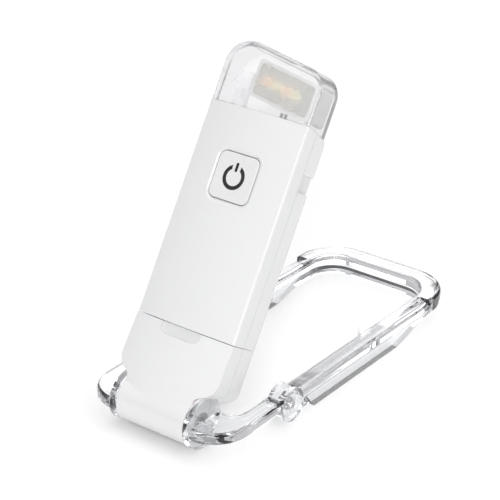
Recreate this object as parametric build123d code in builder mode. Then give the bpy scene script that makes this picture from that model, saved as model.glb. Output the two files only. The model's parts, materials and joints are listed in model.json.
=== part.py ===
"""Rechargeable clip-on reading light, in millimetres.

A slim stick lamp with a clear LED head pulls off a hinged base cap, which covers its
USB-A plug.  The cap turns on an axle between the two ears of a clear loop clip, and a
sprung jaw under the loop grips a book cover or a shelf edge.

Frame: X runs along the hinge axle, +Y from the hinge to the clip's far bar, +Z up.
The origin is on the surface that the clip lies on, under the middle of its length.
Lamp pieces are drawn in the lamp's own directions: across, back, and up its length.
"""
import os
from math import atan2, cos, hypot, radians, sin, tan

from build123d import *

os.makedirs("parts", exist_ok=True)

# ------------------------------------------------------------------ driving dimensions
LAMP_TILT = 58.0  # resting angle of the lamp above the clip, degrees

# clip, measured from the hinge axis
CLIP_NEAR = 5.6  # half width of the near bar in plan, about the hinge axis
CLIP_FAR = 94.0  # outer edge of the far bar
CLIP_HALF = 20.8  # outer half width
ARM_WIDTH = 4.6
FAR_BAR = 6.0  # width of the far bar in plan
NEAR_RADIUS = 9.5  # outer corner radii in plan
FAR_RADIUS = 11.5
FRAME_TOP = 1.1  # frame's top face above the hinge axis
FRAME_THICK = 2.8
NEAR_INNER_RADIUS = 4.5  # inner corner radii in plan
FAR_INNER_RADIUS = 7.5
TOP_EDGE = 1.0  # rounding of the frame's top and bottom edges
LOW_EDGE = 0.4
EAR_RADIUS = 6.0
EAR_IN = 10.0  # inner face of each ear from the middle
EAR_OUT = 11.6
NUB_Y = 58.5  # latch nubs on the arms, from the hinge axis
NUB_TIP = 1.4  # length of a nub's inner face
NUB_LEAD = 2.6  # length of its sloping lead-in
NUB_REACH = 2.6
RAMP_START = 59.6  # where the arms' outer top corners start to slope down
RAMP_END = 80.5
RAMP_DEPTH = 1.8
RAMP_WIDTH = 3.6

# jaw, measured from the hinge axis
JAW_GAP = 0.2
JAW_THIN = 2.2  # thickness of the jaw at its far bar
JAW_START = 27.0
JAW_HEEL = 3.2  # how far the near end leans towards the far bar
JAW_TAPER_START = 66.0
JAW_TAPER_END = 74.3
JAW_BEVEL = 1.4  # bevel under the outside of the far bar
PIVOT_Y = 21.5
PIVOT_Z = -1.7
KNUCKLE_RADIUS = 4.2
KNUCKLE_CHEEK = 1.0  # thickness of the knuckle on each side of its slot
TONGUE_THICK = 1.1
TONGUE_RADIUS = 3.4
PIN_RADIUS = 0.75
PIN_CLEARANCE = 0.04
WIRE_RADIUS = 0.2  # jaw springs
COIL_RADIUS = 1.45
COIL_PITCH = 0.42
COIL_TURNS = 2.0
LEG_LENGTH = 2.6

# lamp body, measured from the hinge axis
WIDTH = 28.0
FRONT = 4.35  # middle of the crowned front face
SIDE_FRONT = 2.75  # front face at its side edges
BACK = 7.1
PARTING = 1.4  # depth of the joint between front and back shells
GROOVE_WIDTH = 0.14  # fine groove along that joint
GROOVE_DEPTH = 0.3
FRONT_CORNER = 0.7  # rounding of the long front and back edges
REAR_CORNER = 1.6
WALL = 1.5
END_WALL = 1.5
SEAM = 19.1  # joint between the cap and the body
SEAM_GAP = 0.15
BODY_TOP = 71.0
TOP_FALL = 1.5  # how much lower the body's top edge is at the back
TOP_FALL_DEPTH = 5.2  # depth where that fall ends
TOP_REAR = 4.5  # height and depth of the body's rounded top rear corner
TOP_REAR_DEPTH = 0.4
NOTCH_DEPTH = 1.2
NOTCH_Y = 58.5  # middle of the notches that the clip's nubs snap into
NOTCH_LENGTH = 4.2
NOTCH_PAD = 2.6

# head
HEAD_BACK = 5.9
HEAD_WALL = 1.3
ROOF_MIDDLE = 85.45  # height of the sloping roof at the middle of the width
ROOF_SLOPE = 9.3  # the roof falls to the right, degrees
ROOF_LEFT_RADIUS = 7.0
ROOF_RIGHT_RADIUS = 5.5
HEAD_STEP = 0.25  # the cover's front stands back from the body's
HEAD_INSET = 0.05
HEAD_EDGE = 1.3
HEAD_INNER_EDGE = 0.5
HEAD_FOOT = 65.0  # where the head's block starts, inside the body
HEAD_GAP = 0.12

# head's inner parts
DECK_HEIGHT = 67.6  # plate that closes the body's top
DECK_THICK = 1.4
POST_X = -7.6  # clear snap post beside the LED tray
POST_DEPTH = -0.2
POST_WIDTH = 3.0
POST_THICK = 2.2
POST_HEIGHT = 10.6
HOOK_HEIGHT = 76.4
HOOK_SIZE = (4.2, 1.4, 1.5)
TRAY_LEFT = -5.0
TRAY_RIGHT = 12.4
TRAY_FRONT = -1.4
TRAY_BACK = 4.2
TRAY_WALL = 0.8
TRAY_DROP = 2.9  # top of the tray under the roof
TRAY_HEIGHT = 9.0
TRAY_CORNER = 0.9
DIFFUSER_THICK = 0.7
LED_COUNT = 4
LED_MIDDLE = 1.4  # middle of the row, off centre towards the post
LED_PITCH = 2.8
LED_SIZE = (2.2, 2.0, 0.7)
LED_DROP = 7.3  # row of LEDs under the roof
LED_BOARD_THICK = 1.6

# button
BUTTON = 11.1
BUTTON_HEIGHT = 55.0
BUTTON_CORNER = 1.8
BUTTON_GAP = 0.2
BUTTON_SUNK = 0.2  # button's face behind the body's front
BUTTON_EDGE = 0.3
DISH_DEPTH = 0.5  # shallow dish around the button
DISH_FLOOR = 0.35  # flat strip between the button and the dish's sloping side
DISH_MARGIN = 1.15
FLANGE_MARGIN = 0.8
FLANGE_THICK = 0.6
FLANGE_CLEARANCE = 0.45
STEM_RADIUS = 1.2
PLUNGER_RADIUS = 1.1
SWITCH_SIZE = 5.2
SWITCH_THICK = 1.3
PLUNGER_PROUD = 0.5
ICON_RADIUS = 2.95
ICON_STROKE = 0.92
ICON_OPENING = 2.3
ICON_BAR = 2.2
ICON_BAR_WIDTH = 0.74
ICON_INSET = 0.15
ICON_PROUD = 0.02

# USB-A plug
PLUG_WIDTH = 12.0
PLUG_THICK = 4.5
PLUG_SHEET = 0.3
PLUG_TIP = 6.7
PLUG_END = 25.0
PLUG_DEPTH = 1.4
PLUG_GAP = 0.2
PLUG_CORNER = 0.4
WINDOW_SIZE = (2.0, 2.2)  # retention windows in the plug's shell
WINDOW_X = 2.5
WINDOW_HEIGHT = 6.5  # above the plug's tip
TONGUE_PLATE = 1.9
TONGUE_SET_BACK = 0.6
PLUG_BASE = 3.0
CONTACT_SIZE = (1.0, 0.3)
CONTACT_PITCH = 2.2

# base cap
BARREL_RADIUS = 5.8
BARREL_HALF = 9.7
SHOULDER_HEIGHT = 7.0  # corner between the cap's straight side and its sloping foot
SHOULDER_RADIUS = 4.5
FOOT_HEIGHT = 4.9  # where the foot meets the barrel's end
FOOT_RADIUS = 1.2
AXLE_RADIUS = 1.5
AXLE_TIP = 0.8  # radius of the axle's ends inside the ears
AXLE_TIP_SUNK = 0.35
AXLE_CLEARANCE = 0.05
SLEEVE_RADIUS = 2.6
CAP_FLOOR = 7.4
CAP_MIDDLE = 1.2
CAP_HOLLOW = 8.0
RECESS_WIDTH = 11.4
RECESS_HEIGHT = 2.7
RECESS_DEPTH = 0.8
RECESS_CORNER = 1.9
CAP_BACK_TURN = 13.0  # where the cap's back starts to curve in to the barrel
CAP_BACK_SAG = 0.4
EAR_ROOM = 0.3  # clearance around the clip's ears
SLEEVE_MARGIN = 1.0  # plug sleeve's wall

# control board and battery
BOARD_FRONT = 0.4
BOARD_THICK = 0.8
BOARD_HALF = 10.5
BOARD_LOW = 22.0
BOARD_HIGH = 66.5
SCREW_X = 8.0
SCREW_HEIGHTS = (27.5, 64.0)
SCREW_POST = 1.7
SCREW_SHANK = 0.6
SCREW_LENGTH = 2.8
SCREW_HEAD = 1.3
SCREW_HEAD_THICK = 0.55
SCREW_BITE = 2.2  # depth of the screws' holes in their posts
CHARGE_CHIP = (4.0, 5.0, 1.3)
CHARGE_CHIP_HEIGHT = 36.0
DRIVER_CHIP = (3.0, 3.0, 1.1)
DRIVER_CHIP_PLACE = (4.5, 45.0)
CAPACITOR = (1.0, 2.0, 0.9)
LEFT_CAPACITORS = (36.0, 41.0, 46.0)
RIGHT_CAPACITORS = (33.0, 38.0)
CAPACITOR_X = 6.5
BATTERY_SIZE = (19.0, 3.6, 29.0)
BATTERY_MIDDLE = 46.0
BATTERY_GAP = 0.35
BATTERY_CORNER = 1.2
BATTERY_EDGE = 0.6
PAD_SIZE = (14.0, 22.0)
LEAD_RADIUS = 0.35
TAB_X = -3.0  # middle of the battery's two leads
TAB_HALF = 1.2
TAB_RISE = 2.4
LEADS_X = 3.2  # middle of the LED board's two leads
LEADS_HALF = 0.6
LEADS_HEIGHTS = (63.0, 67.0, 69.5, 72.7)
LEADS_STEP = 1.2

# ------------------------------------------------------------------ frame and planes
HINGE_Y = (EAR_RADIUS - CLIP_FAR) / 2
HINGE_Z = EAR_RADIUS
TILT = radians(LAMP_TILT)

lamp = Plane(origin=(0, HINGE_Y, HINGE_Z), x_dir=(1, 0, 0), z_dir=(0, cos(TILT), sin(TILT)))
REAR = Axis(lamp.origin, lamp.y_dir)


def across(height):
    """Plane across the lamp: x to the right, y to the back."""
    return lamp.offset(height)


def facing(depth):
    """Plane facing the lamp's front: x to the right, y up the lamp."""
    return Plane(origin=lamp.from_local_coords((0, depth, 0)), x_dir=(1, 0, 0), z_dir=-lamp.y_dir)


def profile(offset=0.0):
    """Plane seen from the lamp's right side: x to the back, y up the lamp."""
    origin = lamp.from_local_coords((offset, 0, 0))
    return Plane(origin=origin, x_dir=lamp.y_dir, z_dir=(1, 0, 0))


def clip_plan(height):
    """Plane parallel to the ground at a height above the hinge axis, y from the axis."""
    return Plane(origin=(0, HINGE_Y, HINGE_Z + height), x_dir=(1, 0, 0), z_dir=(0, 0, 1))


def clip_side(offset):
    """Plane across the hinge axis: x from the axis to the far bar, y up."""
    return Plane(origin=(offset, HINGE_Y, HINGE_Z), x_dir=(0, 1, 0), z_dir=(1, 0, 0))


def save(piece, name):
    """Label a finished piece and write it to its own file."""
    piece.part.label = name
    export_step(piece.part, f"parts/{name}.step")


# ------------------------------------------------------------------ shared outlines
def body_section(inset=0.0):
    """The lamp's outline across its length: crowned front, flat sides and back."""
    half = WIDTH / 2 - inset
    side = -SIDE_FRONT + inset
    rear = BACK - inset
    with BuildSketch() as section:
        with BuildLine():
            ThreePointArc((-half, side), (0, -FRONT + inset), (half, side))
            Polyline((half, side), (half, rear), (-half, rear), (-half, side))
        make_face()
        fillet(section.vertices().group_by(Axis.Y)[-1], REAR_CORNER - inset / 2)
        fillet(section.vertices().group_by(Axis.Y)[0], FRONT_CORNER)
    return section.sketch


def head_outline(inset=0.0):
    """The head from the front: straight sides and a roof that falls to the right."""
    half = WIDTH / 2 - inset
    fall = half * tan(radians(ROOF_SLOPE))
    roof = ROOF_MIDDLE - inset / cos(radians(ROOF_SLOPE))
    with BuildSketch() as outline:
        with BuildLine():
            Polyline(
                (-half, HEAD_FOOT),
                (half, HEAD_FOOT),
                (half, roof - fall),
                (-half, roof + fall),
                close=True,
            )
        make_face()
        fillet(outline.vertices().sort_by(Axis.Y)[-1], ROOF_LEFT_RADIUS - inset)
        right = outline.vertices().filter_by(lambda v: v.X > half - 0.1).sort_by(Axis.Y)[-1]
        fillet(right, ROOF_RIGHT_RADIUS - inset)
    return outline.sketch


def clip_loop(near, far, half, near_radius, far_radius):
    """A rounded rectangle in plan, from near to far along the clip."""
    with BuildSketch() as loop:
        with BuildLine():
            Polyline((-half, near), (half, near), (half, far), (-half, far), close=True)
        make_face()
        fillet(loop.vertices().group_by(Axis.Y)[0], near_radius)
        fillet(loop.vertices().group_by(Axis.Y)[-1], far_radius)
    return loop.sketch


def top_edge(rise=0.0):
    """The body's top edge from the side: level across the front, then falling."""
    return (
        (-FRONT - 1, BODY_TOP + rise),
        (-SIDE_FRONT, BODY_TOP + rise),
        (TOP_FALL_DEPTH, BODY_TOP - TOP_FALL + rise),
    )


def screw_places(height):
    """The two screws at a height."""
    return Locations((-SCREW_X, height), (SCREW_X, height))


# ------------------------------------------------------------------ lamp body shells
with BuildPart() as body_case:
    with BuildSketch(across(SEAM)):
        add(body_section())
    extrude(amount=BODY_TOP - SEAM)
    with BuildSketch(across(SEAM + END_WALL)):
        add(body_section(WALL))
    extrude(amount=BODY_TOP, mode=Mode.SUBTRACT)
    with BuildSketch(profile()):
        with BuildLine():
            Polyline(
                *top_edge(),
                (BACK - TOP_REAR_DEPTH, BODY_TOP - TOP_FALL - TOP_REAR / 2),
                (BACK, BODY_TOP - TOP_FALL - TOP_REAR),
                (BACK + 1, BODY_TOP - TOP_FALL - TOP_REAR),
                (BACK + 1, BODY_TOP + 1),
                (-FRONT - 1, BODY_TOP + 1),
                close=True,
            )
        make_face()
    extrude(amount=WIDTH, both=True, mode=Mode.SUBTRACT)
    with BuildSketch(across(SEAM)):
        with Locations((0, PLUG_DEPTH)):
            Rectangle(PLUG_WIDTH + PLUG_GAP, PLUG_THICK + PLUG_GAP)
    extrude(amount=END_WALL, mode=Mode.SUBTRACT)
    with BuildSketch(facing(PARTING + GROOVE_WIDTH / 2)):
        with Locations((-WIDTH / 2, BODY_TOP / 2), (WIDTH / 2, BODY_TOP / 2)):
            Rectangle(2 * GROOVE_DEPTH, BODY_TOP)
    extrude(amount=GROOVE_WIDTH, mode=Mode.SUBTRACT)

with BuildPart() as front_shell:
    add(body_case.part)
    split(bisect_by=facing(PARTING), keep=Keep.TOP)
    # shallow dish with sloping sides around the button, then the button's opening
    for depth, margin in ((DISH_DEPTH, DISH_FLOOR), (0, DISH_MARGIN)):
        with BuildSketch(facing(-FRONT + depth)):
            with Locations((0, BUTTON_HEIGHT)):
                dish = BUTTON + 2 * margin
                RectangleRounded(dish, dish, BUTTON_CORNER + margin)
    loft(ruled=True, mode=Mode.SUBTRACT)
    with BuildSketch(facing(0)):
        with Locations((0, BUTTON_HEIGHT)):
            opening = BUTTON + 2 * BUTTON_GAP
            RectangleRounded(opening, opening, BUTTON_CORNER + BUTTON_GAP)
    extrude(amount=FRONT + 1, mode=Mode.SUBTRACT)
    # posts that carry the control board
    with BuildSketch(facing(BOARD_FRONT)):
        for height in SCREW_HEIGHTS:
            with screw_places(height):
                Circle(SCREW_POST)
    extrude(amount=SIDE_FRONT + BOARD_FRONT)
    with BuildSketch(facing(BOARD_FRONT)):
        for height in SCREW_HEIGHTS:
            with screw_places(height):
                Circle(SCREW_SHANK + 0.02)
    extrude(amount=SCREW_BITE, mode=Mode.SUBTRACT)
save(front_shell, "front_shell")

with BuildPart() as back_shell:
    add(body_case.part)
    split(bisect_by=facing(PARTING), keep=Keep.BOTTOM)
    # pads that back the latch notches, then the notches
    pad_x = (WIDTH - NOTCH_PAD) / 2 - FRONT_CORNER
    with BuildSketch(facing(BACK - WALL)):
        with Locations((-pad_x, NOTCH_Y), (pad_x, NOTCH_Y)):
            Rectangle(NOTCH_PAD, NOTCH_LENGTH + 2 * WALL)
    extrude(amount=BACK - WALL - PARTING)
    with BuildSketch(facing(BACK + 1)):
        with Locations((-WIDTH / 2, NOTCH_Y), (WIDTH / 2, NOTCH_Y)):
            Rectangle(2 * NOTCH_DEPTH, NOTCH_LENGTH)
    extrude(amount=BACK + 1 - PARTING, mode=Mode.SUBTRACT)
save(back_shell, "back_shell")

# ------------------------------------------------------------------ button and switch
BUTTON_FACE = FRONT - BUTTON_SUNK
FLANGE_FACE = FRONT - WALL - FLANGE_CLEARANCE
SWITCH_FACE = BOARD_FRONT - SWITCH_THICK
PLUNGER_FACE = SWITCH_FACE - PLUNGER_PROUD


def icon_sketch():
    """Generic power symbol: a broken ring and a bar."""
    with BuildSketch() as icon:
        Circle(ICON_RADIUS)
        Circle(ICON_RADIUS - ICON_STROKE, mode=Mode.SUBTRACT)
        with Locations((0, ICON_RADIUS)):
            Rectangle(ICON_OPENING, ICON_OPENING, mode=Mode.SUBTRACT)
        with Locations((0, ICON_RADIUS - ICON_BAR / 4)):
            RectangleRounded(ICON_BAR_WIDTH, ICON_BAR, ICON_BAR_WIDTH / 2 - 0.01)
    return icon.sketch


with BuildPart() as power_button:
    with BuildSketch(facing(-FLANGE_FACE)):
        with Locations((0, BUTTON_HEIGHT)):
            RectangleRounded(BUTTON, BUTTON, BUTTON_CORNER)
    extrude(amount=BUTTON_FACE - FLANGE_FACE)
    fillet(power_button.edges().group_by(REAR)[0], BUTTON_EDGE)
    with BuildSketch(facing(-FLANGE_FACE)):
        with Locations((0, BUTTON_HEIGHT)):
            flange = BUTTON + 2 * FLANGE_MARGIN
            RectangleRounded(flange, flange, BUTTON_CORNER + FLANGE_MARGIN)
    extrude(amount=-FLANGE_THICK)
    with BuildSketch(facing(PLUNGER_FACE)):
        with Locations((0, BUTTON_HEIGHT)):
            Circle(STEM_RADIUS)
    extrude(amount=FLANGE_FACE - FLANGE_THICK + PLUNGER_FACE)
    with BuildSketch(facing(-BUTTON_FACE + ICON_INSET)):
        with Locations((0, BUTTON_HEIGHT)):
            add(icon_sketch())
    extrude(amount=1, mode=Mode.SUBTRACT)
save(power_button, "power_button")

with BuildPart() as power_icon:
    with BuildSketch(facing(-BUTTON_FACE + ICON_INSET)):
        with Locations((0, BUTTON_HEIGHT)):
            add(icon_sketch())
    extrude(amount=ICON_INSET + ICON_PROUD)
save(power_icon, "power_icon")

with BuildPart() as tact_switch:
    with BuildSketch(facing(BOARD_FRONT)):
        with Locations((0, BUTTON_HEIGHT)):
            RectangleRounded(SWITCH_SIZE, SWITCH_SIZE, BUTTON_EDGE)
    extrude(amount=SWITCH_THICK)
    with BuildSketch(facing(BOARD_FRONT - BUTTON_EDGE)):
        with Locations((0, BUTTON_HEIGHT)):
            Circle(STEM_RADIUS)
    extrude(amount=SWITCH_THICK, mode=Mode.SUBTRACT)
save(tact_switch, "tact_switch")

with BuildPart() as tact_plunger:
    with BuildSketch(facing(SWITCH_FACE + PLUNGER_PROUD)):
        with Locations((0, BUTTON_HEIGHT)):
            Circle(PLUNGER_RADIUS)
    extrude(amount=2 * PLUNGER_PROUD)
save(tact_plunger, "tact_plunger")

# ------------------------------------------------------------------ control board
BOARD_BACK = BOARD_FRONT + BOARD_THICK
BOARD_CENTRE = (BOARD_LOW + BOARD_HIGH) / 2

with BuildPart() as control_board:
    with BuildSketch(facing(BOARD_BACK)):
        with Locations((0, BOARD_CENTRE)):
            Rectangle(2 * BOARD_HALF, BOARD_HIGH - BOARD_LOW)
        for height in SCREW_HEIGHTS:
            with screw_places(height):
                Circle(SCREW_SHANK + 0.15, mode=Mode.SUBTRACT)
        # slot that the plug's shell sits in
        with Locations((0, BOARD_LOW)):
            slot = 2 * (PLUG_END - BOARD_LOW) + PLUG_GAP
            Rectangle(PLUG_WIDTH + PLUG_GAP, slot, mode=Mode.SUBTRACT)
    extrude(amount=BOARD_THICK)
save(control_board, "control_board")

with BuildPart() as board_screws:
    for height in SCREW_HEIGHTS:
        with BuildSketch(facing(BOARD_BACK)):
            with screw_places(height):
                Circle(SCREW_HEAD)
        extrude(amount=-SCREW_HEAD_THICK)
        with BuildSketch(facing(BOARD_BACK)):
            with screw_places(height):
                Circle(SCREW_SHANK)
        extrude(amount=SCREW_LENGTH)
save(board_screws, "board_screws")

with BuildPart() as charge_chip:
    with BuildSketch(facing(BOARD_FRONT)):
        with Locations((0, CHARGE_CHIP_HEIGHT)):
            Rectangle(CHARGE_CHIP[0], CHARGE_CHIP[1])
    extrude(amount=CHARGE_CHIP[2])
save(charge_chip, "charge_chip")

with BuildPart() as driver_chip:
    with BuildSketch(facing(BOARD_FRONT)):
        with Locations(DRIVER_CHIP_PLACE):
            Rectangle(DRIVER_CHIP[0], DRIVER_CHIP[1])
    extrude(amount=DRIVER_CHIP[2])
save(driver_chip, "driver_chip")

with BuildPart() as board_capacitors:
    with BuildSketch(facing(BOARD_FRONT)):
        for x, heights in ((-CAPACITOR_X, LEFT_CAPACITORS), (CAPACITOR_X, RIGHT_CAPACITORS)):
            with Locations(*[(x, height) for height in heights]):
                Rectangle(CAPACITOR[0], CAPACITOR[1])
    extrude(amount=CAPACITOR[2])
save(board_capacitors, "board_capacitors")

# ------------------------------------------------------------------ battery
BATTERY_BACK = BOARD_BACK + BATTERY_GAP + BATTERY_SIZE[1]
BATTERY_TOP = BATTERY_MIDDLE + BATTERY_SIZE[2] / 2

with BuildPart() as battery:
    with BuildSketch(facing(BATTERY_BACK)):
        with Locations((0, BATTERY_MIDDLE)):
            RectangleRounded(BATTERY_SIZE[0], BATTERY_SIZE[2], BATTERY_CORNER)
    extrude(amount=BATTERY_SIZE[1])
    fillet(battery.edges().group_by(REAR)[0], BATTERY_EDGE)
    fillet(battery.edges().group_by(REAR)[-1], BATTERY_EDGE)
save(battery, "battery")

with BuildPart() as battery_pad:
    with BuildSketch(facing(BACK - WALL)):
        with Locations((0, BATTERY_MIDDLE)):
            Rectangle(*PAD_SIZE)
    extrude(amount=BACK - WALL - BATTERY_BACK)
save(battery_pad, "battery_pad")


def lead(points, corner):
    """A wire of round section along straight runs with rounded corners."""
    with BuildPart() as wire:
        with BuildLine() as route:
            FilletPolyline(*[lamp.from_local_coords(p) for p in points], radius=corner)
        start = Plane(origin=route.line @ 0, z_dir=route.line % 0)
        with BuildSketch(start):
            Circle(LEAD_RADIUS)
        sweep(path=route.line)
    return wire.part


with BuildPart() as battery_leads:
    depth = BOARD_BACK + BATTERY_GAP + BATTERY_SIZE[1] / 2
    for x in (TAB_X - TAB_HALF, TAB_X + TAB_HALF):
        route = [
            (x, depth, BATTERY_TOP),
            (x, depth, BATTERY_TOP + TAB_RISE),
            (x, BOARD_BACK, BATTERY_TOP + TAB_RISE),
        ]
        add(lead(route, 2 * LEAD_RADIUS + 0.1))
save(battery_leads, "battery_leads")

# ------------------------------------------------------------------ USB-A plug
with BuildPart() as usb_plug_shell:
    with BuildSketch(across(PLUG_TIP)):
        with Locations((0, PLUG_DEPTH)):
            RectangleRounded(PLUG_WIDTH, PLUG_THICK, PLUG_CORNER)
            Rectangle(PLUG_WIDTH - 2 * PLUG_SHEET, PLUG_THICK - 2 * PLUG_SHEET, mode=Mode.SUBTRACT)
    extrude(amount=PLUG_END - PLUG_TIP)
    # retention windows in the front and back faces
    with BuildSketch(facing(BACK)):
        height = PLUG_TIP + WINDOW_HEIGHT
        with Locations((-WINDOW_X, height), (WINDOW_X, height)):
            Rectangle(*WINDOW_SIZE)
    extrude(amount=BACK + FRONT, mode=Mode.SUBTRACT)
save(usb_plug_shell, "usb_plug_shell")

TONGUE_BACK = PLUG_DEPTH + PLUG_THICK / 2 - PLUG_SHEET
with BuildPart() as usb_tongue:
    with BuildSketch(across(PLUG_TIP + TONGUE_SET_BACK)):
        with Locations((0, TONGUE_BACK - TONGUE_PLATE / 2)):
            Rectangle(PLUG_WIDTH - 2 * PLUG_SHEET, TONGUE_PLATE)
    extrude(amount=PLUG_END - PLUG_TIP - TONGUE_SET_BACK)
    with BuildSketch(across(PLUG_END - PLUG_BASE)):
        with Locations((0, PLUG_DEPTH)):
            Rectangle(PLUG_WIDTH - 2 * PLUG_SHEET, PLUG_THICK - 2 * PLUG_SHEET)
    extrude(amount=PLUG_BASE)
save(usb_tongue, "usb_tongue")

with BuildPart() as usb_contacts:
    with BuildSketch(across(PLUG_TIP + 2 * TONGUE_SET_BACK)):
        with Locations((0, TONGUE_BACK - TONGUE_PLATE - CONTACT_SIZE[1] / 2)):
            with GridLocations(CONTACT_PITCH, 1, 4, 1):
                Rectangle(*CONTACT_SIZE)
    extrude(amount=PLUG_END - PLUG_BASE - PLUG_TIP - 2 * TONGUE_SET_BACK)
save(usb_contacts, "usb_contacts")

# ------------------------------------------------------------------ head
ROOF_FALL = tan(radians(ROOF_SLOPE))
LEADS_DEPTH = BOARD_BACK + LEAD_RADIUS + 0.15
DECK_TOP = DECK_HEIGHT + DECK_THICK

with BuildPart() as led_leads:
    for x in (LEADS_X - LEADS_HALF, LEADS_X + LEADS_HALF):
        depths = (LEADS_DEPTH, LEADS_DEPTH, LEADS_DEPTH + LEADS_STEP, LEADS_DEPTH + LEADS_STEP)
        route = [(x, depth, height) for depth, height in zip(depths, LEADS_HEIGHTS)]
        add(lead(route, 4 * LEAD_RADIUS))
save(led_leads, "led_leads")

with BuildPart() as head_base:
    with BuildSketch(across(DECK_HEIGHT)):
        add(body_section(WALL + 0.1))
    extrude(amount=DECK_THICK)
    # the deck stops short of the cover's back wall
    with BuildSketch(profile()):
        with Locations((BACK - WALL, DECK_HEIGHT)):
            Rectangle(2 * (BACK - HEAD_BACK), 4 * DECK_THICK)
    extrude(amount=WIDTH, both=True, mode=Mode.SUBTRACT)
    # opening for the LED leads
    with BuildSketch(across(DECK_HEIGHT)):
        with Locations((LEADS_X, LEADS_DEPTH + LEADS_STEP / 2)):
            Rectangle(5 * LEADS_HALF, 2 * LEADS_STEP + LEAD_RADIUS)
    extrude(amount=DECK_THICK, mode=Mode.SUBTRACT)
    # clear post with a snap hook and a slot under it
    with BuildSketch(across(DECK_TOP)):
        with Locations((POST_X, POST_DEPTH)):
            Rectangle(POST_WIDTH, POST_THICK)
    extrude(amount=POST_HEIGHT)
    with BuildSketch(across(HOOK_HEIGHT)):
        with Locations((POST_X, POST_DEPTH - POST_THICK / 2)):
            Rectangle(HOOK_SIZE[0], HOOK_SIZE[1])
    extrude(amount=HOOK_SIZE[2])
    with BuildSketch(facing(POST_DEPTH + POST_THICK)):
        with Locations((POST_X, HOOK_HEIGHT - HOOK_SIZE[2] * 1.5)):
            Rectangle(POST_WIDTH / 2, 2 * HOOK_SIZE[2] - 0.4)
    extrude(amount=3 * POST_THICK, mode=Mode.SUBTRACT)
save(head_base, "head_base")


def head_form(inset, edge):
    """The head's block between two depths, with its roof and side edges rounded."""
    front = -FRONT + HEAD_STEP + inset
    rear = HEAD_BACK - inset
    with BuildPart() as form:
        with BuildSketch(facing(rear)):
            add(head_outline(HEAD_INSET + inset))
        extrude(amount=rear - front)
        fillet(form.edges().group_by(REAR)[0], edge)
        fillet(form.edges().group_by(REAR)[-1], edge)
        with BuildSketch(across(HEAD_FOOT)):
            add(body_section(HEAD_INSET + inset))
        extrude(amount=WIDTH, mode=Mode.INTERSECT)
    return form.part


with BuildPart() as head_cover:
    add(head_form(0, HEAD_EDGE))
    add(head_form(HEAD_WALL, HEAD_INNER_EDGE), mode=Mode.SUBTRACT)
    # the bottom follows the body's sloping top edge
    with BuildSketch(profile()):
        with BuildLine():
            Polyline(
                *top_edge(HEAD_GAP),
                (BACK + 1, BODY_TOP - TOP_FALL + HEAD_GAP),
                (BACK + 1, HEAD_FOOT - 1),
                (-FRONT - 1, HEAD_FOOT - 1),
                close=True,
            )
        make_face()
    extrude(amount=WIDTH, both=True, mode=Mode.SUBTRACT)
save(head_cover, "head_cover")

def tray_outline(inset=0.0):
    """The tray's window: upright sides, and a top and bottom that follow the roof."""
    left = TRAY_LEFT + inset
    right = TRAY_RIGHT - inset
    top = ROOF_MIDDLE - TRAY_DROP - inset
    low = top - TRAY_HEIGHT + 2 * inset
    with BuildSketch() as outline:
        with BuildLine():
            Polyline(
                (left, low - left * ROOF_FALL),
                (right, low - right * ROOF_FALL),
                (right, top - right * ROOF_FALL),
                (left, top - left * ROOF_FALL),
                close=True,
            )
        make_face()
        fillet(outline.vertices(), TRAY_CORNER)
    return outline.sketch


with BuildPart() as led_tray:
    with BuildSketch(facing(TRAY_BACK)):
        add(tray_outline())
    extrude(amount=TRAY_BACK - TRAY_FRONT)
    with BuildSketch(facing(TRAY_BACK - TRAY_WALL)):
        add(tray_outline(TRAY_WALL))
    extrude(amount=TRAY_BACK - TRAY_FRONT, mode=Mode.SUBTRACT)
save(led_tray, "led_tray")

with BuildPart() as diffuser:
    with BuildSketch(facing(TRAY_FRONT + DIFFUSER_THICK)):
        add(tray_outline(TRAY_WALL))
    extrude(amount=DIFFUSER_THICK)
save(diffuser, "diffuser")

with BuildPart() as led_board:
    with BuildSketch(facing(TRAY_BACK - TRAY_WALL)):
        add(tray_outline(TRAY_WALL + HEAD_INSET))
    extrude(amount=LED_BOARD_THICK)
save(led_board, "led_board")

LED_FACE = TRAY_BACK - TRAY_WALL - LED_BOARD_THICK
led_across = [LED_MIDDLE + (i - (LED_COUNT - 1) / 2) * LED_PITCH for i in range(LED_COUNT)]
led_places = [(x, ROOF_MIDDLE - LED_DROP - x * ROOF_FALL) for x in led_across]

for name, places in (("warm_leds", led_places[0::2]), ("cool_leds", led_places[1::2])):
    with BuildPart() as leds:
        with BuildSketch(facing(LED_FACE)):
            with Locations(*places):
                Rectangle(LED_SIZE[0], LED_SIZE[1])
        extrude(amount=LED_SIZE[2])
    save(leds, name)

# ------------------------------------------------------------------ base cap
CAP_TOP = SEAM - SEAM_GAP

# the cap's front runs straight from the body's front to touch the barrel
reach = hypot(FRONT, CAP_TOP)
touch = atan2(CAP_TOP, -FRONT) + atan2((reach**2 - BARREL_RADIUS**2) ** 0.5, BARREL_RADIUS)
TOUCH_DEPTH = BARREL_RADIUS * cos(touch)
TOUCH_HEIGHT = BARREL_RADIUS * sin(touch)
CAVITY_WIDTH = WIDTH - 2 * WALL - SLEEVE_MARGIN


def cap_side():
    """Side outline of the cap above the hinge axis."""
    with BuildSketch() as outline:
        with BuildLine():
            Polyline(
                (0, 0),
                (TOUCH_DEPTH, TOUCH_HEIGHT),
                (-FRONT, CAP_TOP),
                (BACK, CAP_TOP),
                (BACK, CAP_BACK_TURN),
            )
            turn = (BACK - CAP_BACK_SAG, CAP_BACK_TURN / 2)
            ThreePointArc((BACK, CAP_BACK_TURN), turn, (BARREL_RADIUS, 0))
            Line((BARREL_RADIUS, 0), (0, 0))
        make_face()
    return outline.sketch


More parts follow.
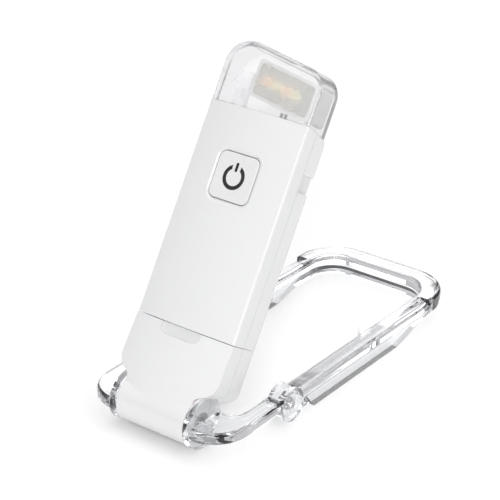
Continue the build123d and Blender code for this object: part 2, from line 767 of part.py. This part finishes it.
with BuildSketch() as cap_front_view:
    with BuildLine():
        Polyline(
            (-WIDTH / 2, SEAM),
            (-WIDTH / 2, SHOULDER_HEIGHT),
            (-BARREL_HALF, FOOT_HEIGHT),
            (-BARREL_HALF, 0),
            (BARREL_HALF, 0),
            (BARREL_HALF, FOOT_HEIGHT),
            (WIDTH / 2, SHOULDER_HEIGHT),
            (WIDTH / 2, SEAM),
            close=True,
        )
    make_face()
    corners = cap_front_view.vertices()
    fillet(corners.filter_by(lambda v: abs(v.Y - SHOULDER_HEIGHT) < 0.1), SHOULDER_RADIUS)
    corners = cap_front_view.vertices()
    fillet(corners.filter_by(lambda v: abs(v.Y - FOOT_HEIGHT) < 0.1), FOOT_RADIUS)

# the leaning plane that carries the cap's crowned front
lean = lamp.y_dir * (-FRONT - TOUCH_DEPTH) + lamp.z_dir * (CAP_TOP - TOUCH_HEIGHT)
crown = Plane(
    origin=lamp.from_local_coords((0, TOUCH_DEPTH, TOUCH_HEIGHT)),
    x_dir=(1, 0, 0),
    z_dir=lean,
)

with BuildPart() as cap_case:
    with BuildSketch(profile()):
        add(cap_side())
    extrude(amount=WIDTH / 2, both=True)
    with BuildSketch(crown):
        with BuildLine():
            half = WIDTH / 2
            crown_drop = FRONT - SIDE_FRONT
            ThreePointArc((-half, crown_drop), (0, 0), (half, crown_drop))
            Polyline((half, crown_drop), (half, 2 * BACK), (-half, 2 * BACK), (-half, crown_drop))
        make_face()
    extrude(amount=2 * SEAM, both=True, mode=Mode.INTERSECT)
    with BuildSketch(across(-1)):
        RectangleRounded(WIDTH, 2 * BACK, REAR_CORNER)
    extrude(amount=SEAM + 2, mode=Mode.INTERSECT)
    with BuildSketch(facing(BACK + 1)):
        add(cap_front_view.sketch)
    extrude(amount=4 * BACK, mode=Mode.INTERSECT)
    # hollow for the plug's sleeve, the barrel, and room for the clip's ears
    with BuildSketch(across(CAP_FLOOR)):
        with Locations((0, CAP_MIDDLE)):
            RectangleRounded(CAVITY_WIDTH, CAP_HOLLOW, REAR_CORNER)
    extrude(amount=SEAM, mode=Mode.SUBTRACT)
    with BuildSketch(profile(-BARREL_HALF)):
        Circle(BARREL_RADIUS)
    extrude(amount=2 * BARREL_HALF)
    for side in (-1, 1):
        with BuildSketch(profile(side * (BARREL_HALF + 0.1))):
            Circle(EAR_RADIUS + EAR_ROOM)
        extrude(amount=side * BARREL_RADIUS, mode=Mode.SUBTRACT)
    with BuildSketch(across(PLUG_TIP - EAR_ROOM)):
        with Locations((0, PLUG_DEPTH)):
            Rectangle(PLUG_WIDTH + PLUG_GAP, PLUG_THICK + PLUG_GAP)
    extrude(amount=SEAM, mode=Mode.SUBTRACT)
    with BuildSketch(profile(-BARREL_HALF)):
        Circle(SLEEVE_RADIUS + 0.02)
    extrude(amount=2 * BARREL_HALF, mode=Mode.SUBTRACT)
    with BuildSketch(facing(PARTING + GROOVE_WIDTH / 2)):
        add(cap_front_view.sketch)
        offset(amount=-GROOVE_DEPTH, mode=Mode.SUBTRACT)
    extrude(amount=GROOVE_WIDTH, mode=Mode.SUBTRACT)

with BuildPart() as cap_front:
    add(cap_case.part)
    split(bisect_by=facing(PARTING), keep=Keep.TOP)
    # finger recess under the seam
    with BuildSketch(facing(-FRONT + RECESS_DEPTH)):
        with Locations((0, CAP_TOP)):
            RectangleRounded(RECESS_WIDTH, 2 * RECESS_HEIGHT, RECESS_CORNER)
    extrude(amount=FRONT, mode=Mode.SUBTRACT)
save(cap_front, "cap_front")

with BuildPart() as cap_back:
    add(cap_case.part)
    split(bisect_by=facing(PARTING), keep=Keep.BOTTOM)
save(cap_back, "cap_back")

SLEEVE_TOP = CAP_TOP - 0.3

with BuildPart() as plug_sleeve:
    with BuildSketch(across(CAP_FLOOR)):
        with Locations((0, PLUG_DEPTH)):
            sleeve = (PLUG_WIDTH + 2 * SLEEVE_MARGIN, PLUG_THICK + 2 * SLEEVE_MARGIN)
            RectangleRounded(*sleeve, 2 * PLUG_CORNER)
    extrude(amount=SLEEVE_TOP - CAP_FLOOR)
    with BuildSketch(across(SLEEVE_TOP - SLEEVE_MARGIN)):
        with Locations((0, CAP_MIDDLE)):
            RectangleRounded(CAVITY_WIDTH - PLUG_GAP, CAP_HOLLOW - PLUG_GAP, REAR_CORNER - PLUG_GAP)
    extrude(amount=SLEEVE_MARGIN)
    with BuildSketch(across(CAP_FLOOR)):
        with Locations((0, PLUG_DEPTH)):
            Rectangle(PLUG_WIDTH + PLUG_GAP, PLUG_THICK + PLUG_GAP)
    extrude(amount=SEAM, mode=Mode.SUBTRACT)
save(plug_sleeve, "plug_sleeve")

with BuildPart() as friction_sleeve:
    with BuildSketch(profile(-BARREL_HALF)):
        Circle(SLEEVE_RADIUS)
        Circle(AXLE_RADIUS + AXLE_CLEARANCE, mode=Mode.SUBTRACT)
    extrude(amount=2 * BARREL_HALF)
save(friction_sleeve, "friction_sleeve")

with BuildPart() as hinge_axle:
    with BuildSketch(profile(-BARREL_HALF)):
        Circle(AXLE_RADIUS)
    extrude(amount=2 * BARREL_HALF)
    with BuildSketch(profile(-EAR_OUT + AXLE_TIP_SUNK)):
        Circle(AXLE_TIP)
    extrude(amount=2 * (EAR_OUT - AXLE_TIP_SUNK))
save(hinge_axle, "hinge_axle")

# ------------------------------------------------------------------ clip frame
CLIP_INNER = CLIP_HALF - ARM_WIDTH
FRAME_LOW = FRAME_TOP - FRAME_THICK
SLOT_IN = CLIP_INNER + KNUCKLE_CHEEK
SLOT_OUT = CLIP_HALF - KNUCKLE_CHEEK
SLOT_RADIUS = KNUCKLE_RADIUS + 0.3

# the ramp's plane falls towards the far end and towards the outside of the arm
ramp_start = Vector(CLIP_HALF, HINGE_Y + RAMP_START, HINGE_Z + FRAME_TOP)
ramp_low = ramp_start + Vector(0, RAMP_END - RAMP_START, -RAMP_DEPTH)
ramp_inner = ramp_start + Vector(-RAMP_WIDTH, RAMP_END - RAMP_START, 0)
ramp = Plane(
    origin=ramp_start,
    x_dir=ramp_low - ramp_start,
    z_dir=(ramp_low - ramp_start).cross(ramp_inner - ramp_start),
)

with BuildPart() as clip_frame:
    with BuildSketch(clip_plan(FRAME_LOW)):
        add(clip_loop(-CLIP_NEAR, CLIP_FAR, CLIP_HALF, NEAR_RADIUS, FAR_RADIUS))
        add(
            clip_loop(
                CLIP_NEAR, CLIP_FAR - FAR_BAR, CLIP_INNER, NEAR_INNER_RADIUS, FAR_INNER_RADIUS
            ),
            mode=Mode.SUBTRACT,
        )
    extrude(amount=FRAME_THICK)
    fillet(clip_frame.faces().sort_by(Axis.Z)[-1].edges(), TOP_EDGE)
    fillet(clip_frame.faces().sort_by(Axis.Z)[0].edges(), LOW_EDGE)
    with BuildSketch(clip_plan(-EAR_RADIUS)):
        Rectangle(2 * EAR_IN, 2 * CLIP_NEAR + 1)
    extrude(amount=2 * EAR_RADIUS, mode=Mode.SUBTRACT)
    # latch nubs inside the arms
    with BuildSketch(clip_plan(FRAME_LOW)):
        for side in (-1, 1):
            with BuildLine():
                Polyline(
                    (side * (CLIP_INNER + TOP_EDGE), NUB_Y - NUB_LEAD),
                    (side * CLIP_INNER, NUB_Y - NUB_LEAD),
                    (side * (CLIP_INNER - NUB_REACH), NUB_Y),
                    (side * (CLIP_INNER - NUB_REACH), NUB_Y + NUB_TIP),
                    (side * CLIP_INNER, NUB_Y + 1.4 * NUB_TIP),
                    (side * (CLIP_INNER + TOP_EDGE), NUB_Y + 1.4 * NUB_TIP),
                    close=True,
                )
            make_face()
    extrude(amount=FRAME_THICK - TOP_EDGE / 2)
    # sloping cuts on the arms' outer top corners, each ending in an upright wall
    with BuildSketch(ramp):
        with BuildLine():
            start, low, inner = [ramp.to_local_coords(p) for p in (ramp_start, ramp_low, ramp_inner)]
            Polyline(start, inner, low + (low - inner), start + (low - inner), close=True)
        make_face()
    cut = extrude(amount=2 * RAMP_DEPTH, mode=Mode.PRIVATE)
    add(cut, mode=Mode.SUBTRACT)
    add(mirror(cut, about=Plane.YZ, mode=Mode.PRIVATE), mode=Mode.SUBTRACT)
    for side in (-1, 1):
        # ear beside the barrel
        with BuildSketch(clip_side(side * EAR_IN)):
            Circle(EAR_RADIUS)
        extrude(amount=side * (EAR_OUT - EAR_IN))
        with BuildSketch(clip_side(side * EAR_IN)):
            Circle(AXLE_TIP + PIN_CLEARANCE)
        extrude(amount=side * ARM_WIDTH, mode=Mode.SUBTRACT)
        # knuckle with a slot for the jaw's tongue and the spring
        with BuildSketch(clip_side(side * CLIP_INNER)):
            with Locations((PIVOT_Y, PIVOT_Z)):
                Circle(KNUCKLE_RADIUS)
        extrude(amount=side * ARM_WIDTH)
        with BuildSketch(clip_side(side * SLOT_IN)):
            with Locations((PIVOT_Y, PIVOT_Z)):
                Circle(SLOT_RADIUS)
        extrude(amount=side * (SLOT_OUT - SLOT_IN), mode=Mode.SUBTRACT)
        with BuildSketch(clip_side(side * CLIP_INNER)):
            with Locations((PIVOT_Y, PIVOT_Z)):
                Circle(PIN_RADIUS + PIN_CLEARANCE)
        extrude(amount=side * ARM_WIDTH, mode=Mode.SUBTRACT)
save(clip_frame, "clip_frame")

# ------------------------------------------------------------------ clip jaw
JAW_TOP = FRAME_LOW - JAW_GAP
JAW_LOW = JAW_TOP - JAW_THIN
TONGUE_OUT = SLOT_OUT - 0.1
TONGUE_IN = TONGUE_OUT - TONGUE_THICK

with BuildPart() as clip_jaw:
    with BuildSketch(clip_plan(-EAR_RADIUS)):
        add(clip_loop(-CLIP_NEAR, CLIP_FAR - 0.4, CLIP_HALF - 0.1, NEAR_RADIUS, FAR_RADIUS))
        add(
            clip_loop(
                CLIP_NEAR, CLIP_FAR - FAR_BAR, CLIP_INNER + 0.1, NEAR_INNER_RADIUS, FAR_INNER_RADIUS
            ),
            mode=Mode.SUBTRACT,
        )
    extrude(amount=EAR_RADIUS + JAW_TOP)
    with BuildSketch(clip_side(0)):
        with BuildLine():
            Polyline(
                (-2 * CLIP_NEAR, JAW_TOP + 1),
                (JAW_START, JAW_TOP + 1),
                (JAW_START, JAW_TOP),
                (JAW_START + JAW_HEEL, -EAR_RADIUS),
                (JAW_START + JAW_HEEL, -EAR_RADIUS - 1),
                (-2 * CLIP_NEAR, -EAR_RADIUS - 1),
                close=True,
            )
        make_face()
        with BuildLine():
            Polyline(
                (JAW_TAPER_START, -EAR_RADIUS - 1),
                (JAW_TAPER_START, -EAR_RADIUS),
                (JAW_TAPER_END, JAW_LOW),
                (CLIP_FAR + 1, JAW_LOW),
                (CLIP_FAR + 1, -EAR_RADIUS - 1),
                close=True,
            )
        make_face()
    extrude(amount=2 * CLIP_HALF, both=True, mode=Mode.SUBTRACT)
    # bevel under the outside of the far bar and its corners
    under = clip_jaw.edges().filter_by(lambda e: abs(e.center().Z - HINGE_Z - JAW_LOW) < 0.01)
    far_edges = under.filter_by(lambda e: e.center().Y > HINGE_Y + CLIP_FAR - FAR_BAR)
    side_edges = under.filter_by(lambda e: abs(e.center().X) > CLIP_HALF - 1)
    chamfer(far_edges + side_edges, JAW_BEVEL)
    for side in (-1, 1):
        with BuildSketch(clip_side(side * TONGUE_IN)):
            with Locations((PIVOT_Y, PIVOT_Z)):
                Circle(TONGUE_RADIUS)
            with BuildLine():
                Polyline(
                    (PIVOT_Y, PIVOT_Z - TONGUE_RADIUS),
                    (PIVOT_Y + TONGUE_RADIUS / 2, PIVOT_Z),
                    (JAW_START + JAW_HEEL / 2, JAW_TOP),
                    (JAW_START + JAW_HEEL, JAW_TOP - TONGUE_RADIUS),
                    close=True,
                )
            make_face()
        extrude(amount=side * (TONGUE_OUT - TONGUE_IN))
        with BuildSketch(clip_side(side * TONGUE_IN)):
            with Locations((PIVOT_Y, PIVOT_Z)):
                Circle(PIN_RADIUS + PIN_CLEARANCE)
        extrude(amount=side * 3, both=True, mode=Mode.SUBTRACT)
save(clip_jaw, "clip_jaw")

# ------------------------------------------------------------------ jaw pins and springs
with BuildPart() as jaw_spring_right:
    centre = (SLOT_IN + 1.5 * WIRE_RADIUS, HINGE_Y + PIVOT_Y, HINGE_Z + PIVOT_Z)
    with BuildLine() as wire:
        Helix(COIL_PITCH, COIL_PITCH * COIL_TURNS, COIL_RADIUS, centre, (1, 0, 0))
    ends = ((wire.line @ 0, wire.line % 0 * -1), (wire.line @ 1, wire.line % 1))
    with BuildSketch(Plane(origin=wire.line @ 0, z_dir=wire.line % 0)):
        Circle(WIRE_RADIUS)
    sweep(path=wire.line, is_frenet=True)
    # straight legs, one against the frame and one against the jaw
    for place, away in ends:
        with BuildSketch(Plane(origin=place, z_dir=(0, away.Y, away.Z))):
            Circle(WIRE_RADIUS)
        extrude(amount=LEG_LENGTH)
save(jaw_spring_right, "jaw_spring_right")

with BuildPart() as jaw_spring_left:
    add(mirror(jaw_spring_right.part, about=Plane.YZ, mode=Mode.PRIVATE))
save(jaw_spring_left, "jaw_spring_left")

for name, side in (("left", -1), ("right", 1)):
    with BuildPart() as pin:
        with BuildSketch(clip_side(side * CLIP_INNER)):
            with Locations((PIVOT_Y, PIVOT_Z)):
                Circle(PIN_RADIUS)
        extrude(amount=side * ARM_WIDTH)
    save(pin, f"jaw_pin_{name}")
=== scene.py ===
"""Looks for the rechargeable clip-on reading light: materials, studio and camera.

The CAD nodes carry the shapes.  Lengths are in metres, in the CAD frame: X along the
hinge axle, +Y towards the clip's far bar, +Z up, with the clip lying on z = 0.
"""
import json
import math

import bpy
from mathutils import Matrix, Vector

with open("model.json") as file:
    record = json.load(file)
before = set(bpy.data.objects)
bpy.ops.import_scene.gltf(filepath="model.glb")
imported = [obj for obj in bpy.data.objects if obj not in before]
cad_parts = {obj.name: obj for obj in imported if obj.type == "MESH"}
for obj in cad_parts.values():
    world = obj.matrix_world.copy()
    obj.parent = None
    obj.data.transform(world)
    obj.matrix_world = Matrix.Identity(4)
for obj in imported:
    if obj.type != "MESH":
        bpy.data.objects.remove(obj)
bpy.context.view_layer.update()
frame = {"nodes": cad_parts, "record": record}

MM = 0.001

# camera: where it looks, from which side, and how far away
CAMERA_TARGET = Vector((4.7, -18.2, 37.8)) * MM
CAMERA_AZIMUTH = 36.93
CAMERA_ELEVATION = 26.36
CAMERA_ROLL = 0.44
CAMERA_DISTANCE = 430 * MM
CAMERA_LENS = 134.6

# clear plastic: its grey cast, how strong that is per metre, and the share of the lights
# that reaches what stands behind it
CLEAR_CAST = (0.79, 0.79, 0.8, 1)
CLEAR_DENSITY = 115.0
LET_THROUGH = (0.96, 0.96, 0.96, 1)
# how often light may reflect inside it, and how often it may bounce in all
INNER_REFLECTIONS = 8
ALL_BOUNCES = 16

# sizes of the surface textures, in features per metre
DRIFT_SCALE = 60
GLOSS_SCALE = 420
RIPPLE_SCALE = 900
CLEAR_GLOSS_SCALE = 300
FLOW_SCALE = 90
METAL_SCALE = 1400
PHOSPHOR_SCALE = 2500

# heights of the surface relief, and how deep light spreads in the white plastic
RIPPLE_HEIGHT = 0.2 * MM
FLOW_HEIGHT = 0.4 * MM
GRAIN_HEIGHT = 0.1 * MM
SPREAD_DEPTH = 2 * MM

# the middle band of the noise, which is spread over the whole range of a value
NOISE_LOW = 0.3
NOISE_HIGH = 0.7

# studio: the floor, the surround's colours at heights from 0 to 1, and each light's
# place, size and power in watts
FLOOR_SIZE = 6.0
FLOOR_COLOUR = (0.93, 0.93, 0.93, 1)
DARK_RING = (0.05, 0.05, 0.05)
SKY = (0.35, 0.35, 0.352)
OVERHEAD = (0.72, 0.72, 0.72)
RING_TOP = 0.14
SKY_START = 0.26
OVERHEAD_START = 0.6
LIGHTS = {
    "top": ((0.1, 0.25, 0.9), (0.9, 0.9), 3.9),
    "key": ((0.28, -0.48, 0.27), (0.2, 0.3), 1.35),
    "rim": ((-0.6, 0.6, 0.35), (0.5, 0.3), 1.0),
}


# ------------------------------------------------------------------ node helpers
def new_material(name):
    """An empty node material with a Principled shader: (material, nodes, links, shader)."""
    material = bpy.data.materials.new(name)
    material.use_nodes = True
    nodes, links = material.node_tree.nodes, material.node_tree.links
    return material, nodes, links, nodes["Principled BSDF"]


def noise(nodes, links, scale, detail=4.0, rough=0.5):
    """Noise over the object's own coordinates; scale is in features per metre."""
    place = nodes.new("ShaderNodeTexCoord")
    texture = nodes.new("ShaderNodeTexNoise")
    texture.inputs["Scale"].default_value = scale
    texture.inputs["Detail"].default_value = detail
    texture.inputs["Roughness"].default_value = rough
    links.new(place.outputs["Object"], texture.inputs["Vector"])
    return texture.outputs["Fac"]


def spread(nodes, links, value, low, high):
    """Map a 0..1 value to low..high."""
    ramp = nodes.new("ShaderNodeMapRange")
    ramp.inputs["From Min"].default_value = NOISE_LOW
    ramp.inputs["From Max"].default_value = NOISE_HIGH
    ramp.inputs["To Min"].default_value = low
    ramp.inputs["To Max"].default_value = high
    links.new(value, ramp.inputs["Value"])
    return ramp.outputs["Result"]


def tint(nodes, links, value, first, second):
    """Blend two colours by a 0..1 value."""
    mix = nodes.new("ShaderNodeMix")
    mix.data_type = "RGBA"
    mix.inputs["A"].default_value = (*first, 1)
    mix.inputs["B"].default_value = (*second, 1)
    links.new(value, mix.inputs["Factor"])
    return mix.outputs["Result"]


def relief(nodes, links, shader, value, strength, distance):
    """Bump from a height value."""
    bump = nodes.new("ShaderNodeBump")
    bump.inputs["Strength"].default_value = strength
    bump.inputs["Distance"].default_value = distance
    links.new(value, bump.inputs["Height"])
    links.new(bump.outputs["Normal"], shader.inputs["Normal"])


def moulded(name, first, second, rough, grain=(RIPPLE_SCALE, 0.02), coat=0.0, sub=0.0):
    """Moulded plastic: slight colour drift, uneven gloss and a fine surface ripple."""
    material, nodes, links, shader = new_material(name)
    drift = noise(nodes, links, DRIFT_SCALE, 3)
    links.new(tint(nodes, links, drift, first, second), shader.inputs["Base Color"])
    gloss = noise(nodes, links, GLOSS_SCALE, 5, 0.6)
    links.new(spread(nodes, links, gloss, *rough), shader.inputs["Roughness"])
    ripple_scale, ripple_strength = grain
    ripple = noise(nodes, links, ripple_scale)
    relief(nodes, links, shader, ripple, ripple_strength, RIPPLE_HEIGHT)
    shader.inputs["IOR"].default_value = 1.5
    shader.inputs["Coat Weight"].default_value = coat
    shader.inputs["Coat Roughness"].default_value = 0.06
    shader.inputs["Subsurface Weight"].default_value = sub
    shader.inputs["Subsurface Scale"].default_value = SPREAD_DEPTH
    return material


def clear(name, colour, rough, ripple, ior=1.58, haze=0.0):
    """Polished clear plastic with faint flow ripples, greyer where it is thick."""
    material, nodes, links, shader = new_material(name)
    gloss = noise(nodes, links, CLEAR_GLOSS_SCALE, 3)
    links.new(spread(nodes, links, gloss, *rough), shader.inputs["Roughness"])
    flow = noise(nodes, links, FLOW_SCALE, 2, 0.4)
    relief(nodes, links, shader, flow, ripple, FLOW_HEIGHT)
    shader.inputs["Base Color"].default_value = (*colour, 1)
    shader.inputs["Transmission Weight"].default_value = 1.0 - haze
    shader.inputs["IOR"].default_value = ior
    surface = nodes["Material Output"].inputs["Surface"]
    volume = nodes["Material Output"].inputs["Volume"]
    # the lights reach what stands behind the plastic, as they do through the real one
    path = nodes.new("ShaderNodeLightPath")
    through = nodes.new("ShaderNodeBsdfTransparent")
    through.inputs["Color"].default_value = LET_THROUGH
    choice = nodes.new("ShaderNodeMixShader")
    links.new(path.outputs["Is Shadow Ray"], choice.inputs["Fac"])
    links.new(shader.outputs["BSDF"], choice.inputs[1])
    links.new(through.outputs["BSDF"], choice.inputs[2])
    links.new(choice.outputs["Shader"], surface)
    body = nodes.new("ShaderNodeVolumeAbsorption")
    body.inputs["Color"].default_value = CLEAR_CAST
    body.inputs["Density"].default_value = CLEAR_DENSITY
    links.new(body.outputs["Volume"], volume)
    return material


def metal(name, first, second, rough, grain=METAL_SCALE):
    """Plain metal with fine machining grain."""
    material, nodes, links, shader = new_material(name)
    drift = noise(nodes, links, grain)
    links.new(tint(nodes, links, drift, first, second), shader.inputs["Base Color"])
    links.new(spread(nodes, links, drift, *rough), shader.inputs["Roughness"])
    relief(nodes, links, shader, drift, 0.05, GRAIN_HEIGHT)
    shader.inputs["Metallic"].default_value = 1.0
    return material


def glowing(name, first, second, colour, strength):
    """An LED's phosphor, which glows faintly."""
    material, nodes, links, shader = new_material(name)
    drift = noise(nodes, links, PHOSPHOR_SCALE, 3)
    links.new(tint(nodes, links, drift, first, second), shader.inputs["Base Color"])
    shader.inputs["Roughness"].default_value = 0.35
    shader.inputs["Emission Color"].default_value = (*colour, 1)
    shader.inputs["Emission Strength"].default_value = strength
    return material


# ------------------------------------------------------------------ materials
FINISHES = {}


def finish(kind, slot, *look, **more):
    """Make the material for one of the record's material slots."""
    FINISHES[slot] = kind(slot, *look, **more)


# moulded plastic: the two colours that it drifts between, and its least and most roughness
finish(moulded, "white_shell", (0.81, 0.81, 0.813), (0.785, 0.785, 0.79), (0.16, 0.26),
       coat=0.35, sub=0.05)
finish(moulded, "button_white", (0.79, 0.79, 0.793), (0.76, 0.76, 0.765), (0.2, 0.32), coat=0.2)
finish(moulded, "white_inner", (0.8, 0.8, 0.8), (0.75, 0.75, 0.75), (0.35, 0.5))
finish(moulded, "tray_white", (0.6, 0.6, 0.59), (0.56, 0.56, 0.55), (0.25, 0.4))
finish(moulded, "black_plastic", (0.02, 0.02, 0.02), (0.03, 0.03, 0.03), (0.35, 0.5),
       grain=(3000, 0.1))
finish(moulded, "switch_plunger", (0.45, 0.06, 0.04), (0.38, 0.05, 0.04), (0.3, 0.4))
finish(moulded, "circuit_board", (0.02, 0.16, 0.05), (0.03, 0.2, 0.07), (0.2, 0.3),
       grain=(2500, 0.08))
finish(moulded, "capacitor", (0.4, 0.28, 0.16), (0.34, 0.24, 0.14), (0.3, 0.45))
finish(moulded, "foam", (0.05, 0.05, 0.05), (0.03, 0.03, 0.03), (0.8, 0.95), grain=(4000, 0.6))
finish(moulded, "lead_sheath", (0.04, 0.025, 0.025), (0.03, 0.02, 0.02), (0.3, 0.4))
finish(moulded, "sleeve_grey", (0.4, 0.4, 0.4), (0.35, 0.35, 0.35), (0.3, 0.4))
finish(moulded, "led_board_white", (0.6, 0.6, 0.57), (0.55, 0.55, 0.52), (0.3, 0.4))

# clear plastic: its colour, its least and most roughness, and the strength of its ripples
finish(clear, "clear_plastic", (0.97, 0.975, 0.985), (0.01, 0.04), 0.12)
finish(clear, "clear_inner", (0.93, 0.93, 0.94), (0.03, 0.08), 0.2, haze=0.25)
finish(clear, "frosted", (0.5, 0.5, 0.478), (0.22, 0.3), 0.1, ior=1.45, haze=0.5)
HAZY_COVER = clear("clear_cover", (0.97, 0.97, 0.975), (0.02, 0.06), 0.1, haze=0.16)

# metal: the two colours that it drifts between, and its least and most roughness
finish(metal, "steel", (0.5, 0.5, 0.52), (0.42, 0.42, 0.44), (0.22, 0.34))
finish(metal, "spring_steel", (0.35, 0.35, 0.37), (0.28, 0.28, 0.3), (0.2, 0.3))
finish(metal, "plug_steel", (0.7, 0.7, 0.72), (0.62, 0.62, 0.64), (0.18, 0.28))
finish(metal, "contact_gold", (0.8, 0.55, 0.2), (0.72, 0.48, 0.16), (0.15, 0.25))
finish(metal, "battery_foil", (0.65, 0.66, 0.68), (0.58, 0.59, 0.6), (0.3, 0.45), grain=500)
finish(metal, "icon_grey", (0.1, 0.1, 0.105), (0.05, 0.05, 0.055), (0.15, 0.35))

# phosphor: the two colours that it drifts between, its glow's colour and its strength
finish(glowing, "led_warm", (0.9, 0.5, 0.12), (0.8, 0.42, 0.1), (1.0, 0.48, 0.12), 3.0)
finish(glowing, "led_cool", (0.9, 0.78, 0.3), (0.82, 0.7, 0.26), (0.95, 0.9, 0.3), 2.4)

slots = {row["node"]: row["material_slot"] for row in frame["record"]["subparts"]}
for node, piece in frame["nodes"].items():
    # the head's cover is milkier than the clip, which is of the same clear plastic
    material = HAZY_COVER if node == "head_cover" else FINISHES[slots[node]]
    piece.data.materials.clear()
    piece.data.materials.append(material)


# ------------------------------------------------------------------ studio
def surround():
    """World light: a dark ring low down, soft grey above it and brighter overhead."""
    world = bpy.data.worlds.new("studio")
    bpy.context.scene.world = world
    world.use_nodes = True
    nodes, links = world.node_tree.nodes, world.node_tree.links
    place = nodes.new("ShaderNodeTexCoord")
    split = nodes.new("ShaderNodeSeparateXYZ")
    ramp = nodes.new("ShaderNodeValToRGB")
    links.new(place.outputs["Generated"], split.inputs["Vector"])
    links.new(split.outputs["Z"], ramp.inputs["Fac"])
    links.new(ramp.outputs["Color"], nodes["Background"].inputs["Color"])
    bands = ramp.color_ramp.elements
    bands[0].position, bands[0].color = 0.0, (*DARK_RING, 1)
    bands[1].position, bands[1].color = 1.0, (*OVERHEAD, 1)
    steps = ((RING_TOP, DARK_RING), (SKY_START, SKY), (OVERHEAD_START, OVERHEAD))
    for height, colour in steps:
        bands.new(height).color = (*colour, 1)


def soft_light(name, place, size, power):
    """A large rectangular light aimed at the lamp."""
    light = bpy.data.lights.new(name, "AREA")
    light.shape = "RECTANGLE"
    light.size, light.size_y = size
    light.energy = power
    lamp = bpy.data.objects.new(name, light)
    lamp.location = place
    aim = CAMERA_TARGET - Vector(place)
    lamp.rotation_euler = aim.to_track_quat("-Z", "Y").to_euler()
    bpy.context.collection.objects.link(lamp)


def studio():
    """A pale floor, a soft surround, and large soft lights."""
    bpy.ops.mesh.primitive_plane_add(size=FLOOR_SIZE)
    floor = bpy.context.object
    floor.name = "floor"
    material, nodes, links, shader = new_material("floor")
    shader.inputs["Base Color"].default_value = FLOOR_COLOUR
    shader.inputs["Roughness"].default_value = 0.9
    shader.inputs["Specular IOR Level"].default_value = 0.1
    floor.data.materials.append(material)
    surround()
    for name, (place, size, power) in LIGHTS.items():
        soft_light(name, place, size, power)


def camera():
    """The camera at the photo's viewing angle: azimuth, elevation and a slight roll."""
    azimuth, elevation = math.radians(CAMERA_AZIMUTH), math.radians(CAMERA_ELEVATION)
    level = math.cos(elevation)
    back = Vector((math.sin(azimuth) * level, -math.cos(azimuth) * level, math.sin(elevation)))
    data = bpy.data.cameras.new("camera")
    data.sensor_width = 36
    data.lens = CAMERA_LENS
    data.clip_start = 0.01
    data.clip_end = 50
    view = bpy.data.objects.new("camera", data)
    turn = (-back).to_track_quat("-Z", "Y").to_matrix().to_4x4()
    roll = Matrix.Rotation(math.radians(CAMERA_ROLL), 4, "Z")
    view.matrix_world = Matrix.Translation(CAMERA_TARGET + back * CAMERA_DISTANCE) @ turn @ roll
    bpy.context.collection.objects.link(view)
    bpy.context.scene.camera = view


studio()
camera()
scene = bpy.context.scene
scene.view_settings.view_transform = "Standard"
scene.cycles.glossy_bounces = INNER_REFLECTIONS
scene.cycles.max_bounces = ALL_BOUNCES
